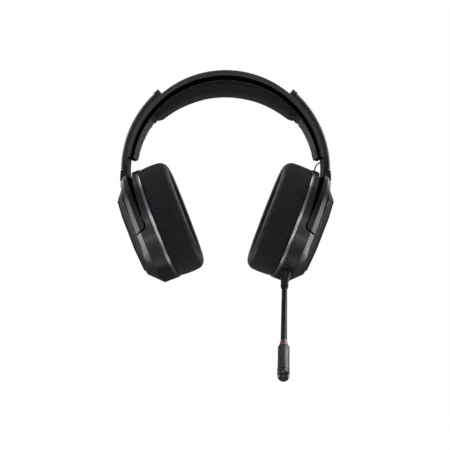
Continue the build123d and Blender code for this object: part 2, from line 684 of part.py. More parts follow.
def boom_disc(radius, start, end, mode=Mode.ADD):
    """A round length of the boom in the open part."""
    with BuildSketch(boom_plane(start)) as disc:
        Circle(radius)
    extrude(disc.sketch, amount=end - start, mode=mode)


with BuildPart() as mic_plug:
    with BuildSketch(mic_plane.offset(-0.5)):
        Circle(PLUG_R)
    extrude(amount=-11.5)
save(mic_plug, "mic_plug")

with BuildPart() as mic_boot:
    with BuildSketch(mic_plane.offset(-0.5)):
        Circle(BOOT_R)
    with BuildSketch(mic_plane.offset(BOOT_STRAIGHT)):
        Circle(BOOT_R - 0.3)
    with BuildSketch(boom_plane(0)):
        Circle(BOOT_END_R)
    loft()
save(mic_boot, "mic_boot")

with BuildPart() as mic_collar:
    boom_disc(COLLAR_R, 0, 5.0)
save(mic_collar, "mic_collar")

for number, low, high in ((1, 5.0, BEND_1), (2, BEND_1, BEND_2), (3, BEND_2, CAPSULE_AT)):
    with BuildPart() as gooseneck:
        first = low if number == 1 else low + NECK_TUBE_R + BEND_GAP
        last = high if number == 3 else high - NECK_TUBE_R - BEND_GAP
        boom_disc(NECK_TUBE_R, first, last)
        for end, rounded in ((first, number > 1), (last, number < 3)):
            if rounded:
                with Locations(boom_plane(end)):
                    Sphere(NECK_TUBE_R)
    save(gooseneck, f"gooseneck_{number}")

with BuildPart() as capsule_collar:
    with BuildSketch(boom_plane(CAPSULE_AT)):
        Circle(NECK_TUBE_R + 0.3)
    with BuildSketch(boom_plane(CAPSULE_AT + CAPSULE_COLLAR)):
        Circle(CAPSULE_R - 0.3)
    loft()
save(capsule_collar, "capsule_collar")

BARREL_START, BARREL_END = CAPSULE_AT + CAPSULE_COLLAR + CAPSULE_RING, BOOM_LENGTH - 2 * CAPSULE_R
with BuildPart() as capsule_ring:
    boom_disc(CAPSULE_R + 0.1, CAPSULE_AT + CAPSULE_COLLAR, BARREL_START)
save(capsule_ring, "capsule_ring")

with BuildPart() as capsule_barrel:
    boom_disc(CAPSULE_R, BARREL_START, BARREL_END)
    boom_disc(CAPSULE_R - 0.8, BARREL_START + 6.0, BARREL_END, mode=Mode.SUBTRACT)
    # the sound slot on the side towards the mouth
    slot_side = Vector(-1, 0, 0)
    slot_middle = Vector(*BOOM_START) + boom_axis * (BARREL_END - 11.0)
    with BuildSketch(Plane(origin=slot_middle, x_dir=boom_axis, z_dir=slot_side)):
        SlotOverall(13.0, 1.4)
    extrude(amount=6, mode=Mode.SUBTRACT)
save(capsule_barrel, "capsule_barrel")

with BuildPart() as capsule_end_cap:
    with Locations(boom_plane(BOOM_LENGTH - CAPSULE_R)):
        Sphere(CAPSULE_R)
    boom_disc(CAPSULE_R, BARREL_END, BOOM_LENGTH - CAPSULE_R)
save(capsule_end_cap, "capsule_end_cap")

with BuildPart() as microphone_element:
    boom_disc(CAPSULE_R - 0.9, BARREL_END - 4.0, BARREL_END)
save(microphone_element, "microphone_element")

# ------------------------------------------------------------------ link wire
WIRE_R = 0.6
WIRE_ROUTE = ((87.6, 4.0, -60.6), (84.0, 4.0, -60.9), (82.2, 4.0, -64.6), (81.9, 4.0, -68.9))
with BuildPart() as link_wire:
    with BuildLine() as wire_line:
        FilletPolyline(*WIRE_ROUTE, radius=1.6)
    with BuildSketch(Plane(origin=WIRE_ROUTE[0], x_dir=(0, 1, 0), z_dir=wire_line.line % 0)):
        Circle(WIRE_R)
    sweep()
save(link_wire, "link_wire")
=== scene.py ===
"""Looks of the gaming headset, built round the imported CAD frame.

The pieces' lengths are in millimetres until they are placed.
The camera, the lights and the floor are in metres.
"""
import json
from math import atan2, ceil, cos, degrees, hypot, pi, radians, sin, sqrt

import bmesh
import bpy
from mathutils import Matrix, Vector, noise
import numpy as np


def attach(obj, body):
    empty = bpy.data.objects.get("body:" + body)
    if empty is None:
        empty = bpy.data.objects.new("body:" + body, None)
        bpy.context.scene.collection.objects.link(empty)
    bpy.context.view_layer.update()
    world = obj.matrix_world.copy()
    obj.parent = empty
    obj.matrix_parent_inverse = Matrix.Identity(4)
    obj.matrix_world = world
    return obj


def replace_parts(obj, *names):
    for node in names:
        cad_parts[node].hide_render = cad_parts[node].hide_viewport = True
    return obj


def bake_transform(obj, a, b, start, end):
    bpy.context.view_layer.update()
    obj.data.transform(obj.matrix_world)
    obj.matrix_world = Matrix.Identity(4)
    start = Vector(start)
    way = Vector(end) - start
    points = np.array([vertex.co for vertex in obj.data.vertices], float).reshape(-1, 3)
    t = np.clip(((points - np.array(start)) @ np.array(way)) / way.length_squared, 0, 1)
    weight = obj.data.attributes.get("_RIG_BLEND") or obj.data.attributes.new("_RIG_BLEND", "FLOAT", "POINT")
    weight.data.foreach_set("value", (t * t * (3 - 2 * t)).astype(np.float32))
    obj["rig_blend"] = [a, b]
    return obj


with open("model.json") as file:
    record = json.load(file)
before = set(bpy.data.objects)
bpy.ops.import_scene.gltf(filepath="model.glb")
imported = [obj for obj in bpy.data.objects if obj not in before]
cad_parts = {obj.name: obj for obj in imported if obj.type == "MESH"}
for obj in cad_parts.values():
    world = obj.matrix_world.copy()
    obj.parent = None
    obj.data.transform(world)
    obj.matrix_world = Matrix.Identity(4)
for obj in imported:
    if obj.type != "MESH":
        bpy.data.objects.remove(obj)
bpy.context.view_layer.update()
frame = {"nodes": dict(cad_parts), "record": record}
MM = 0.001
NODES = frame["nodes"]
RECORD = frame["record"]
NODE_SLOT = {row["node"]: row["material_slot"] for row in RECORD["subparts"]}
NODE_BODY = {n: body for body, names in RECORD["behaviour"]["bodies"].items() for n in names}

# ---------------------------------------------------------------- dimensions, as in the CAD
ARC_Z = -68.4
LINER_Z = ARC_Z - 3.6
CUSHION_TOP_R = 82.1
CUSHION_UNDER_R = 94.8       # the underside's arc, which passes through the origin
CUSHION_HALF_DEPTH = 16.5
CUSHION_REAR_LIFT = 1.2      # how much shallower the cushion is along its rear edge
CUSHION_LIP = 2.6            # how far the cushion's cover laps up over the liner's front and rear edges
CUSHION_END = radians(51.4)
LIP_FROM, LIP_WITHIN = 14.9, 0.8

CUP_DEPTH, CUP_HEIGHT = 89.0, 104.0
SIDE_R, END_R, CORNER_R = 90.0, 75.0, 33.0
PLATE_TOP = 53.5
PLATE_MOUNT = next(m for m in RECORD["mounts"] if m["name"] == "left_plate")
OUT = Vector(PLATE_MOUNT["axis"])
UP = Vector((-OUT.z, 0, OUT.x))
CUP_ORIGIN = Vector(PLATE_MOUNT["pos_m"]) / MM - OUT * PLATE_TOP

BOOM_START = Vector((50.2, -39.3, -168.6))
BOOM_TIP = Vector((36.45, -175.5, -215.6))
BOOM_DIR = (BOOM_TIP - BOOM_START).normalized()
BOOM_LENGTH = (BOOM_TIP - BOOM_START).length
BEND_1, BEND_2 = 26.0, 66.0
CAPSULE_AT = 98.0
CAPSULE_COLLAR = 8.5
CAPSULE_R = 4.0
RING_AT = CAPSULE_AT + CAPSULE_COLLAR
BARREL_END = BOOM_LENGTH - 2 * CAPSULE_R
NECK_R = 2.3
BOOM_SPACING = 0.8

CAMERA_AT = (-0.00055, -0.572, -0.118)
FLOOR_REACH, FLOOR_Z = 3.0, -1.20


# ---------------------------------------------------------------- camera, light and floor
def set_camera():
    camera = bpy.data.objects.new("camera", bpy.data.cameras.new("camera"))
    camera.data.lens = 50
    camera.data.sensor_width = 36
    camera.location = CAMERA_AT
    camera.rotation_euler = (radians(90), 0, 0)
    bpy.context.scene.collection.objects.link(camera)
    bpy.context.scene.camera = camera


def area_light(name, place, target, width, height, strength):
    """A soft box. The strength is its radiance, so that a mirror would show it at that brightness."""
    data = bpy.data.lights.new(name, "AREA")
    data.shape = "RECTANGLE"
    data.size, data.size_y = width, height
    data.energy = strength * width * height * pi
    light = bpy.data.objects.new(name, data)
    light.location = place
    light.rotation_euler = (Vector(target) - Vector(place)).to_track_quat("-Z", "Y").to_euler()
    light.visible_camera = False
    bpy.context.scene.collection.objects.link(light)


def shown_to_camera(tree, lighting, shown, output):
    """Show the camera one shader, while every other ray meets the lighting one."""
    path = tree.nodes.new("ShaderNodeLightPath")
    mix = tree.nodes.new("ShaderNodeMixShader")
    tree.links.new(path.outputs["Is Camera Ray"], mix.inputs[0])
    tree.links.new(lighting.outputs[0], mix.inputs[1])
    tree.links.new(shown.outputs[0], mix.inputs[2])
    tree.links.new(mix.outputs[0], tree.nodes[output].inputs["Surface"])


def set_world():
    world = bpy.data.worlds.new("studio")
    bpy.context.scene.world = world
    world.use_nodes = True
    nodes = world.node_tree.nodes
    shown = nodes["Background"]
    shown.inputs["Color"].default_value = (1, 1, 1, 1)
    fill = nodes.new("ShaderNodeBackground")
    fill.inputs["Color"].default_value = (0.93, 0.96, 1.0, 1)
    fill.inputs["Strength"].default_value = 0.16
    shown_to_camera(world.node_tree, fill, shown, "World Output")


def lay_floor():
    """A floor that the camera sees white, and that lights the object as a dark one would."""
    mesh = bpy.data.meshes.new("floor")
    corners = [(x * FLOOR_REACH, y * FLOOR_REACH, FLOOR_Z) for x, y in ((-1, -1), (1, -1), (1, 1), (-1, 1))]
    mesh.from_pydata(corners, [], [(0, 1, 2, 3)])
    floor = bpy.data.objects.new("floor", mesh)
    bpy.context.scene.collection.objects.link(floor)
    pale = bpy.data.materials.new("floor_pale")
    pale.use_nodes = True
    nodes = pale.node_tree.nodes
    surface = nodes["Principled BSDF"]
    surface.inputs["Base Color"].default_value = (0.12, 0.12, 0.12, 1)
    surface.inputs["Roughness"].default_value = 0.9
    glow = nodes.new("ShaderNodeEmission")
    shown_to_camera(pale.node_tree, surface, glow, "Material Output")
    mesh.materials.append(pale)


def set_lights():
    middle = (0, 0, -0.11)
    for side in (-1, 1):
        name = "left" if side > 0 else "right"
        area_light(f"side_{name}", (side * 0.83, 0.09, -0.36), (side * 0.08, 0, -0.12), 0.55, 0.45, 5.0)
        area_light(f"rim_{name}", (side * 0.55, 0.55, 0.25), middle, 0.35, 0.60, 1.8)
    area_light("top", (0, -0.10, 0.75), middle, 0.9, 0.6, 1.8)
    area_light("front_high", (0, -1.20, -0.015), middle, 1.7, 0.12, 3.0)
    area_light("front_low", (0, -1.20, -0.42), middle, 1.7, 0.12, 3.0)
    area_light("under", (0, -0.62, -0.88), middle, 1.3, 0.50, 0.7)
    bpy.context.scene.view_settings.view_transform = "Standard"


# ---------------------------------------------------------------- materials
class Shader:
    """A material under construction: its nodes, its links and its main shader."""

    def __init__(self, name, metallic=0.0):
        self.material = bpy.data.materials.new(name)
        self.material.use_nodes = True
        self.nodes = self.material.node_tree.nodes
        self.links = self.material.node_tree.links
        self.main = self.nodes["Principled BSDF"]
        self.main.inputs["Metallic"].default_value = metallic
        self.place = self.nodes.new("ShaderNodeTexCoord").outputs["Object"]

    def link(self, source, target):
        if isinstance(source, bpy.types.NodeSocket):
            self.links.new(source, target)
        else:
            target.default_value = source

    def math(self, operation, first, second=0.0, clamp=False):
        node = self.nodes.new("ShaderNodeMath")
        node.operation = operation
        node.use_clamp = clamp
        self.link(first, node.inputs[0])
        self.link(second, node.inputs[1])
        return node.outputs[0]

    def noise(self, scale, detail=2.0, stretch=None, place=None):
        """Noise with that many waves per metre, or per unit of the given coordinates."""
        node = self.nodes.new("ShaderNodeTexNoise")
        node.inputs["Scale"].default_value = scale
        node.inputs["Detail"].default_value = detail
        source = place or self.place
        if stretch:
            warp = self.nodes.new("ShaderNodeMapping")
            warp.inputs["Scale"].default_value = stretch
            self.links.new(source, warp.inputs["Vector"])
            source = warp.outputs["Vector"]
        self.links.new(source, node.inputs["Vector"])
        return node.outputs["Fac"]

    def span(self, value, low, high, to_low=0.0, to_high=1.0):
        node = self.nodes.new("ShaderNodeMapRange")
        node.interpolation_type = "SMOOTHSTEP"
        for index, bound in enumerate((low, high, to_low, to_high), 1):
            node.inputs[index].default_value = bound
        self.links.new(value, node.inputs[0])
        return node.outputs[0]

    def mix(self, factor, first, second):
        node = self.nodes.new("ShaderNodeMix")
        node.data_type = "RGBA"
        self.link(factor, node.inputs["Factor"])
        for value, socket in ((first, node.inputs[6]), (second, node.inputs[7])):
            if isinstance(value, tuple):
                socket.default_value = (*value, 1)
            else:
                self.links.new(value, socket)
        return node.outputs[2]

    def bump(self, height, depth, strength=1.0, below=None):
        """Relief of that many metres for each unit of height."""
        node = self.nodes.new("ShaderNodeBump")
        node.inputs["Strength"].default_value = strength
        node.inputs["Distance"].default_value = depth
        self.links.new(height, node.inputs["Height"])
        if below is not None:
            self.links.new(below, node.inputs["Normal"])
        return node.outputs["Normal"]

    def finish(self, color, rough, normal=None, **sockets):
        self.link(color, self.main.inputs["Base Color"])
        self.link(rough, self.main.inputs["Roughness"])
        if normal is not None:
            self.links.new(normal, self.main.inputs["Normal"])
        for name, value in sockets.items():
            self.main.inputs[name.replace("_", " ")].default_value = value
        return self.material


def scaled(color, factor):
    return tuple(min(1.0, c * factor) for c in color)


def moulded(name, color, rough, grain=0.00002, wear=0.5, coat=0.0, tint=0.12, gloss=0.5):
    """Moulded plastic: fine spark-eroded grain, faint cloudiness, and edges rubbed a little lighter."""
    s = Shader(name)
    cloud = s.noise(45.0, 3.0)
    fine = s.noise(2600.0, 2.0)
    scuff = s.noise(420.0, 4.0)
    edge = s.nodes.new("ShaderNodeNewGeometry").outputs["Pointiness"]
    rubbed = s.math("MULTIPLY", s.span(edge, 0.53, 0.62), s.span(scuff, 0.38, 0.62))
    base = s.mix(s.span(cloud, 0.3, 0.7), scaled(color, 1 - tint), scaled(color, 1 + tint))
    worn = s.mix(s.math("MULTIPLY", rubbed, wear), base, scaled(color, 2.2))
    roughness = s.math("ADD", s.span(cloud, 0.3, 0.7, rough - 0.04, rough + 0.04),
                       s.span(scuff, 0.45, 0.75, 0.0, 0.05), clamp=True)
    return s.finish(worn, roughness, s.bump(fine, grain), Coat_Weight=coat, Coat_Roughness=0.08,
                    Specular_IOR_Level=gloss)


def metal(name, color, rough, stretch=None, spread=0.08):
    """Metal with drawn or turned marks, which vary its roughness by the spread."""
    s = Shader(name, metallic=1.0)
    marks = s.noise(900.0, 3.0, stretch)
    cloud = s.noise(30.0, 1.0)
    base = s.mix(s.span(cloud, 0.3, 0.7), scaled(color, 0.86), scaled(color, 1.12))
    roughness = s.span(marks, 0.3, 0.7, max(0.02, rough - spread), rough + spread)
    return s.finish(base, roughness, s.bump(marks, 0.000003))


def dot_distance(s, pitch):
    """Distance, in millimetres, to the nearest point of a staggered grid on the surface's own coordinates."""
    chart = s.nodes.new("ShaderNodeUVMap").outputs["UV"]

    def vector(operation, first, second=None):
        node = s.nodes.new("ShaderNodeVectorMath")
        node.operation = operation
        s.links.new(first, node.inputs[0])
        if isinstance(second, tuple):
            node.inputs[1].default_value = second
        return node

    cell = (pitch, pitch * sqrt(3), 1.0)
    half = (pitch / 2, pitch * sqrt(3) / 2, 0.0)
    distances = []
    for shift in ((1000 * pitch, 1000 * pitch * sqrt(3), 0.0),
                  (1000.5 * pitch, 1000.5 * pitch * sqrt(3), 0.0)):
        moved = vector("ADD", chart, shift).outputs[0]
        wrapped = vector("MODULO", moved, cell).outputs[0]
        centred = vector("SUBTRACT", wrapped, half).outputs[0]
        distances.append(vector("LENGTH", centred).outputs["Value"])
    return s.math("MINIMUM", *distances), chart


def mesh_cloth(name, color, dot_color, pitch=1.95, rough=0.85):
    """Air-mesh cloth: rows of raised eyelets over a fine knit."""
    s = Shader(name)
    distance, chart = dot_distance(s, pitch)
    dot = s.span(distance, 0.72, 0.44)
    knit = s.noise(7.0, 2.0, (1.0, 2.2, 1.0), chart)
    cloud = s.noise(0.12, 2.0, None, chart)
    ground = s.mix(s.span(cloud, 0.3, 0.7), scaled(color, 0.85), scaled(color, 1.15))
    mottled = s.mix(s.span(knit, 0.35, 0.65), scaled(color, 0.7), ground)
    shown = s.mix(s.math("MULTIPLY", dot, 0.95), mottled, dot_color)
    relief = s.bump(dot, 0.00022, 0.8, below=s.bump(knit, 0.00008))
    return s.finish(shown, s.span(knit, 0.3, 0.7, rough - 0.08, rough + 0.08), relief,
                    Sheen_Weight=0.10, Sheen_Roughness=0.45, Specular_IOR_Level=0.25)


def soft_skin(name, color, rough):
    """Protein leather: a shallow pebble grain with fine creases."""
    s = Shader(name)
    cells = s.nodes.new("ShaderNodeTexVoronoi")
    cells.inputs["Scale"].default_value = 1500.0
    s.links.new(s.place, cells.inputs["Vector"])
    crease = s.noise(240.0, 4.0)
    base = s.mix(s.span(crease, 0.35, 0.65), scaled(color, 0.82), scaled(color, 1.15))
    relief = s.bump(cells.outputs["Distance"], 0.00005, 0.7, below=s.bump(crease, 0.00012, 0.6))
    return s.finish(base, s.span(crease, 0.3, 0.7, rough - 0.05, rough + 0.07), relief, Sheen_Weight=0.12)


HATCH_PITCH = 1.6 * MM


def hatched(name, color, rough):
    """Plastic with fine moulded diagonal lines."""
    s = Shader(name)
    axes = s.nodes.new("ShaderNodeSeparateXYZ")
    s.links.new(s.place, axes.inputs[0])
    slant = s.math("ADD", axes.outputs["Y"], s.math("MULTIPLY", axes.outputs["Z"], 0.75))
    wave = s.math("SINE", s.math("MULTIPLY", slant, 2 * pi / HATCH_PITCH))
    ridge = s.span(wave, -0.4, 0.6)
    fine = s.noise(2600.0)
    base = s.mix(ridge, scaled(color, 0.55), scaled(color, 1.25))
    relief = s.bump(ridge, 0.00007, 0.8, below=s.bump(fine, 0.00001))
    return s.finish(base, s.span(fine, 0.3, 0.7, rough - 0.04, rough + 0.06), relief, Specular_IOR_Level=0.18)


MATERIALS = {
    "slate_plastic": moulded("slate_plastic", (0.036, 0.039, 0.046), 0.46),
    "black_plastic": moulded("black_plastic", (0.011, 0.011, 0.012), 0.50),
    "fork_plastic": moulded("fork_plastic", (0.010, 0.011, 0.013), 0.36, gloss=0.38),
    "grip_plastic": moulded("grip_plastic", (0.060, 0.062, 0.066), 0.45),
    "end_cap_plastic": moulded("end_cap_plastic", (0.060, 0.062, 0.066), 0.45),
    "gloss_black": moulded("gloss_black", (0.015, 0.016, 0.020), 0.31, grain=0.000006, coat=0.15),
    "cover_plastic": moulded("cover_plastic", (0.030, 0.031, 0.033), 0.30),
    "plate_plastic": moulded("plate_plastic", (0.008, 0.008, 0.009), 0.45, gloss=0.25),
    "silver_trim": metal("silver_trim", (0.42, 0.42, 0.45), 0.29, spread=0.01),
    "mesh_fabric": mesh_cloth("mesh_fabric", (0.0070, 0.0074, 0.0090), (0.052, 0.054, 0.061)),
    "scrim": mesh_cloth("scrim", (0.006, 0.006, 0.007), (0.012, 0.012, 0.013), pitch=1.2),
    "inner_plastic": moulded("inner_plastic", (0.012, 0.012, 0.013), 0.60),
    "driver_frame": moulded("driver_frame", (0.025, 0.025, 0.025), 0.55),
    "magnet_steel": metal("magnet_steel", (0.50, 0.50, 0.52), 0.30),
    "diaphragm": moulded("diaphragm", (0.35, 0.33, 0.28), 0.35),
    "steel": metal("steel", (0.06, 0.06, 0.065), 0.38),
    "circuit_board": moulded("circuit_board", (0.010, 0.080, 0.030), 0.35),
    "battery_wrap": moulded("battery_wrap", (0.30, 0.31, 0.33), 0.40),
    "boot_rubber": moulded("boot_rubber", (0.007, 0.007, 0.008), 0.42, wear=0.1),
    "gooseneck_rubber": moulded("gooseneck_rubber", (0.008, 0.008, 0.009), 0.36, wear=0.0, gloss=0.35),
    "red_ring": moulded("red_ring", (0.62, 0.018, 0.012), 0.30, wear=0.0, tint=0.05),
    "barrel_metal": metal("barrel_metal", (0.13, 0.13, 0.135), 0.34, (1.0, 0.06, 0.06)),
    "mic_element": metal("mic_element", (0.40, 0.40, 0.40), 0.35),
    "wire_jacket": moulded("wire_jacket", (0.008, 0.008, 0.008), 0.45, wear=0.0),
}
# A darker copy of the cover's plastic for its outward facet: the moulded lines are the cover's own, and the
# darker colour is painted shade against the lighter bevel.
COVER_HATCH_AND_SHADE = hatched("cover_hatch_and_shade", (0.007, 0.007, 0.008), 0.50)
# Near-black for painted shade: it goes on the headband's recess, the inner shell's front and rear faces and
# the gap round each fork, where shade falls.
PAINTED_SHADE_BLACK = moulded("painted_shade_black", (0.0012, 0.0012, 0.0013), 0.80, wear=0.0, gloss=0.04)
PAD_SKIN = soft_skin("pad_skin", (0.019, 0.019, 0.021), 0.42)
# The opening's lining cloth, darker than the side cloth: partly its own colour, partly painted shade for the
# shade inside the opening.
PAD_LINING_AND_SHADE = mesh_cloth("pad_lining_and_shade", (0.0055, 0.0058, 0.0068), (0.011, 0.011, 0.012), rough=0.9)
# Painted light: a lighter grey for the white light the headband's inner face reflects. With the near-black on
# the shell's other faces it makes lit and shaded copies of one plastic.
PAINTED_LIGHT_INNER_FACE = moulded("inner_face_painted_light", (0.105, 0.107, 0.112), 0.42)


# ---------------------------------------------------------------- making pieces
def new_piece(name, verts, faces, slot, body, materials=None, material_of=None, uvs=None):
    """A mesh from points in millimetres in the row frame, riding on a body."""
    mesh = bpy.data.meshes.new(name)
    mesh.from_pydata([Vector(v) * MM for v in verts], [], faces)
    for material in materials or [MATERIALS[slot]]:
        mesh.materials.append(material)
    for polygon in mesh.polygons:
        polygon.use_smooth = True
        if material_of:
            polygon.material_index = material_of[polygon.index]
    if uvs:
        layer = mesh.uv_layers.new(name="surface")
        for polygon in mesh.polygons:
            for loop, uv in zip(polygon.loop_indices, uvs[polygon.index]):
                layer.data[loop].uv = uv
    piece = bpy.data.objects.new(name, mesh)
    bpy.context.scene.collection.objects.link(piece)
    if body:
        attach(piece, body)
    return piece


def facing_out(piece):
    """Turn a closed mesh's faces outward."""
    work = bmesh.new()
    work.from_mesh(piece.data)
    bmesh.ops.recalc_face_normals(work, faces=work.faces)
    work.to_mesh(piece.data)
    work.free()


def softened(node, width, looks=()):
    """Stand in for a hard CAD node with the same shape and its edges rounded over.

    Each of the looks is a material and the test that says which faces have it.
    """
    mesh = NODES[node].data.copy()
    mesh.name = f"{node}_finish"
    work = bmesh.new()
    work.from_mesh(mesh)
    bmesh.ops.remove_doubles(work, verts=work.verts, dist=1e-6)
    bmesh.ops.dissolve_limit(work, angle_limit=radians(0.6), verts=work.verts, edges=work.edges)
    bmesh.ops.recalc_face_normals(work, faces=work.faces)
    work.to_mesh(mesh)
    work.free()
    for attribute in [a for a in mesh.attributes if a.name == "custom_normal"]:
        mesh.attributes.remove(attribute)
    mesh.materials.clear()
    mesh.materials.append(MATERIALS[NODE_SLOT[node]])
    for material, _ in looks:
        mesh.materials.append(material)
    for polygon in mesh.polygons:
        polygon.use_smooth = True
        for index, (_, test) in enumerate(looks, 1):
            if test(polygon):
                polygon.material_index = index
    piece = bpy.data.objects.new(mesh.name, mesh)
    bpy.context.scene.collection.objects.link(piece)
    rounding = piece.modifiers.new("rounding", "BEVEL")
    rounding.width = width * MM
    rounding.segments = 2
    rounding.limit_method = "ANGLE"
    rounding.angle_limit = radians(30)
    rounding.harden_normals = True
    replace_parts(piece, node)
    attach(piece, NODE_BODY[node])


def tube_faces(rings, steps):
    """The faces of a closed tube: a band between each two rings of points, and a cap at each end."""
    faces = []
    for ring in range(rings - 1):
        for step in range(steps):
            after = (step + 1) % steps
            faces.append((ring * steps + step, ring * steps + after,
                          (ring + 1) * steps + after, (ring + 1) * steps + step))
    faces.append(tuple(range(steps)))
    faces.append(tuple((rings - 1) * steps + step for step in range(steps)))
    return faces


LATHE_STEPS = 48


def lathe(name, slot, body, profile):
    """Turn a profile of (distance along the boom, radius) round the boom."""
    first = BOOM_DIR.cross(Vector((0, 0, 1))).normalized()
    second = BOOM_DIR.cross(first)
    verts = []
    for along, radius in profile:
        for step in range(LATHE_STEPS):
            turn = 2 * pi * step / LATHE_STEPS
            verts.append(BOOM_START + BOOM_DIR * along + (first * cos(turn) + second * sin(turn)) * radius)
    piece = new_piece(name, verts, tube_faces(len(profile), LATHE_STEPS), slot, body)
    facing_out(piece)
    piece.data.set_sharp_from_angle(angle=radians(40))
    return piece


# ---------------------------------------------------------------- the cup's outline
def outline_stations(spacing):
    """Points round the cup's outline as (y, v), the outward direction there, and the distance gone round."""
    side_y, end_v = CUP_DEPTH / 2 - SIDE_R, CUP_HEIGHT / 2 - END_R
    to_side, to_end, gap = SIDE_R - CORNER_R, END_R - CORNER_R, hypot(side_y, end_v)
    along = (to_side**2 - to_end**2 + gap**2) / (2 * gap)
    across = sqrt(to_side**2 - along**2)
    corner_y = side_y + (-side_y * along - end_v * across) / gap
    corner_v = (end_v * along - side_y * across) / gap
    side_span = degrees(atan2(corner_v, corner_y - side_y))
    end_span = degrees(atan2(corner_y, corner_v - end_v))
    stations, gone = [], 0.0
    arcs = []
    for quarter, (sy, sv) in enumerate(((1, 1), (-1, 1), (-1, -1), (1, -1))):
        turn = 90 * quarter
        upright = quarter % 2 == 0
        centre = (side_y * sy, 0) if upright else (0, end_v * sv)
        span, after = (side_span, end_span) if upright else (end_span, side_span)
        arcs.append((centre, SIDE_R if upright else END_R, turn - span, turn + span))
        arcs.append(((corner_y * sy, corner_v * sv), CORNER_R, turn + span, turn + 90 - after))
    for (cy, cv), radius, start, end in arcs:
        steps = max(2, ceil(radius * radians(end - start) / spacing))
        for step in range(steps):
            turn = radians(start + (end - start) * step / steps)
            normal = (cos(turn), sin(turn))
            stations.append(((cy + radius * normal[0], cv + radius * normal[1]), normal,
                             gone + radius * radians(end - start) * step / steps))
        gone += radius * radians(end - start)
    return stations, gone, side_span, end_span


def at_cup(y, v, w, side):
    """The place of a point of the cup: y towards the back, v up the cup, w outward from the pad."""
    place = CUP_ORIGIN + UP * v + OUT * w + Vector((0, y, 0))
    return Vector((place.x * side, place.y, place.z))


def clamp(value):
    return max(-1.0, min(1.0, value))


def ring_piece(name, slot, body, side, stations, length, section, materials, zone_of, scale_of=None):
    """A closed ring: section(station, index) gives its points as (y, v, w) at each station round the cup."""
    rows = [section(station, i) for i, station in enumerate(stations)]
    count, around = len(rows[0]), len(rows)
    verts = [at_cup(*point, side) for row in rows for point in row]
    first = rows[0]
    run = [0.0]
    for i in range(count):
        a, b = first[i], first[(i + 1) % count]
        run.append(run[-1] + sqrt(sum((p - q) ** 2 for p, q in zip(a, b))))
    faces, uvs, zones = [], [], []
    for i in range(around):
        following = (i + 1) % around
        u0 = stations[i][2]
        u1 = stations[following][2] if following else length
        for j in range(count):
            k = (j + 1) % count
            faces.append((i * count + j, following * count + j, following * count + k, i * count + k))
            squeeze = scale_of(j) if scale_of else 1.0
            uvs.append(((u0 * squeeze, run[j]), (u1 * squeeze, run[j]),
                        (u1 * squeeze, run[j + 1]), (u0 * squeeze, run[j + 1])))
            zones.append(zone_of(j))
    piece = new_piece(name, verts, faces, slot, body, materials, zones, uvs)
    facing_out(piece)
    return piece


# ---------------------------------------------------------------- ear pads
PAD_OPEN_R, PAD_OPEN_Y, PAD_OPEN_V = 21.0, 1.5, 9.5
PAD_DEPTH = 22.0
SEAM_TURN = 44.0            # where the cloth side meets the smooth rim, round the outer edge
EDGE_R = 8.4                # the round edge of the pad, and its centre's depth and height
EDGE_DEPTH, EDGE_HEIGHT = 8.85, 8.6
SEAM_DIP = 0.45


def pad_profile():
    """(depth in from the outline, height, zone) down the side, over the rim and into the opening.

    Zone 0 is the cloth side, 1 the smooth rim and 2 the lined opening, whose dark lining is partly its own
    colour and partly painted shade for the shade inside the opening.
    """
    def on_edge(radius, turn, zone):
        return EDGE_DEPTH - radius * cos(radians(turn)), EDGE_HEIGHT - radius * sin(radians(turn)), zone

    points = [(1.6, 24.6, 0), (0.75, 23.7, 0), (0.45, 21.0, 0), (0.25, 17.5, 0), (0.20, 14.0, 0),
              (0.25, 11.0, 0), (0.45, 8.8, 0)]
    points += [on_edge(EDGE_R, turn, 0) for turn in (12, 24, 34, 41)]
    points.append(on_edge(EDGE_R - SEAM_DIP, SEAM_TURN, 1))
    points += [on_edge(EDGE_R, turn, 1) for turn in (47, 54, 63, 72, 81, 90)]
    # From 12 mm in, the dark lining takes over, partly as painted shade in the opening.
    points += [(10.5, 0.35, 1), (11.6, 0.8, 1), (12.0, 1.15, 2), (13.5, 2.0, 2), (15.2, 3.6, 2),
               (17.0, 6.0, 2), (18.6, 9.0, 2), (20.0, 13.0, 2), (21.0, 18.0, 2), (21.9, 24.6, 2)]
    return points


def ear_pad(side):
    name = "left" if side > 0 else "right"
    stations, length, side_span, end_span = outline_stations(1.6)
    profile = pad_profile()

    def section(station, index):
        (y, v), (ny, nv), gone = station
        inner_y = PAD_OPEN_Y * clamp(ny / sin(radians(end_span))) + PAD_OPEN_R * ny
        inner_v = PAD_OPEN_V * clamp(nv / sin(radians(side_span))) + PAD_OPEN_R * nv
        row = []
        for depth, height, zone in profile:
            share = depth / PAD_DEPTH
            lump = noise.noise(Vector((gone * 0.045, height * 0.09, side * 7.0))) * 0.35
            fade = min(1.0, max(0.0, (23.5 - height) / 8.0))
            push = lump * fade
            row.append((y + (inner_y - y) * share - ny * max(0.0, push),
                        v + (inner_v - v) * share - nv * max(0.0, push),
                        height + abs(lump) * fade * 0.5))
        return row

    zones = [zone for _, _, zone in profile]
    piece = ring_piece(f"ear_pad_soft_{name}", "mesh_fabric", f"cup_{name}", side, stations, length,
                       section, [MATERIALS["mesh_fabric"], PAD_SKIN, PAD_LINING_AND_SHADE],
                       lambda j: zones[j], lambda j: 0.58 if zones[j] == 2 else 1.0)
    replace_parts(piece, f"ear_pad_{name}")


# ---------------------------------------------------------------- trim rings
NOTCH_FROM_V = 26.0         # the notches are on the part of the ring above this
NOTCH_DEPTH = 0.16


